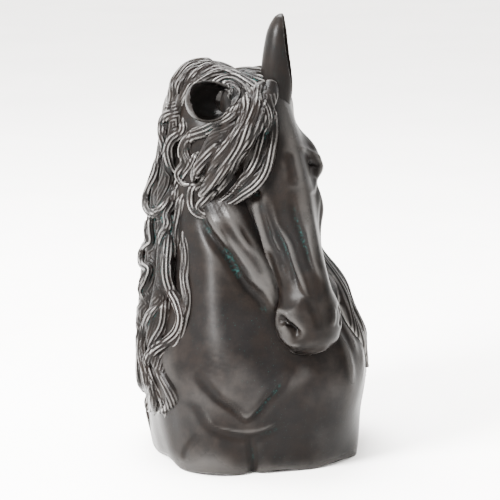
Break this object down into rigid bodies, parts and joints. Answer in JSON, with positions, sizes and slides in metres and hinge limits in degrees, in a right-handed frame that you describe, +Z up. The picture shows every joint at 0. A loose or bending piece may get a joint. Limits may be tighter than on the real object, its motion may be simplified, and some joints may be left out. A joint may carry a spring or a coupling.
{
  "type": "horse bust statuette",
  "caption": "Hollow cast horse bust with turned head, one ear up and one laid out, swept forelock and long wavy mane.",
  "frame": {"origin": "on the floor under the middle of the whole bust", "axes": "+Z up; the chest faces -Y; the horse's right side, with the fuller mane, faces -X; the head is turned towards +X"},
  "size_m": [0.2409, 0.2353, 0.4494],
  "materials": {
    "bronze_skin": "dark brown patina, waxed, rubbed on the ridges, verdigris in the creases",
    "bronze_hair": "dark brown patina, waxed, rubbed on the strands, verdigris between them",
    "bronze_core": "dull brown bronze"
  },
  "bodies": {
    "root": {"bust_shell": "bronze_skin", "head_shell": "bronze_skin", "left_ear": "bronze_skin", "right_ear": "bronze_skin", "core_plugs": "bronze_core", "joint_pins": "bronze_core", "mane_crest": "bronze_hair", "forelock_1": "bronze_hair", "forelock_2": "bronze_hair", "forelock_3": "bronze_hair", "forelock_4": "bronze_hair", "mane_right_1": "bronze_hair", "mane_right_2": "bronze_hair", "mane_right_3": "bronze_hair", "mane_right_4": "bronze_hair", "mane_right_5": "bronze_hair", "mane_right_6": "bronze_hair", "mane_back_1": "bronze_hair", "mane_back_2": "bronze_hair", "mane_back_3": "bronze_hair", "mane_left_1": "bronze_hair", "mane_left_2": "bronze_hair", "mane_left_3": "bronze_hair", "mane_left_4": "bronze_hair"}
  },
  "joints": []
}
